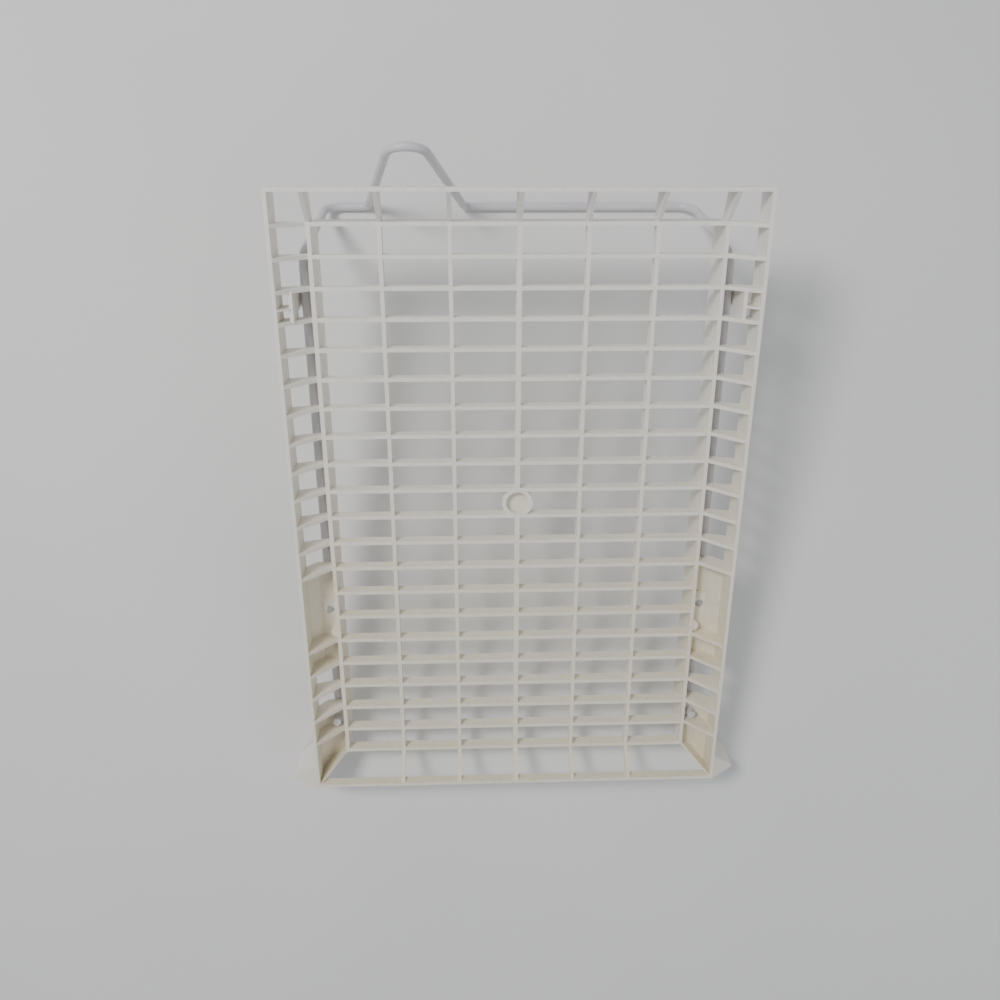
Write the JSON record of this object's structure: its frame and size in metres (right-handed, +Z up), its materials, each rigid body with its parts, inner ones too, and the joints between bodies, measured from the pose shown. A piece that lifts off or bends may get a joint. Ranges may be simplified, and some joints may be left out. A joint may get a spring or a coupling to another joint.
{
  "type": "dryer drying rack",
  "caption": "Slatted plastic tray with sloped edges and corner feet, propped at the rear by a bent coated wire, for drying items still inside a tumble dryer.",
  "frame": {"origin": "On the surface the rack rests on, midway between its outermost ends in width and in length.", "axes": "+Z up, +Y toward the raised rear edge with the wire, +X to the right when seen from the low front edge."},
  "size_m": [0.4032, 0.5308, 0.1673],
  "materials": {
    "rack_plastic": "satin moulded plastic, warm white",
    "coated_wire": "smooth light grey coating"
  },
  "bodies": {
    "root": {"moulded_rack": "rack_plastic", "wire_support": "coated_wire"}
  },
  "joints": []
}
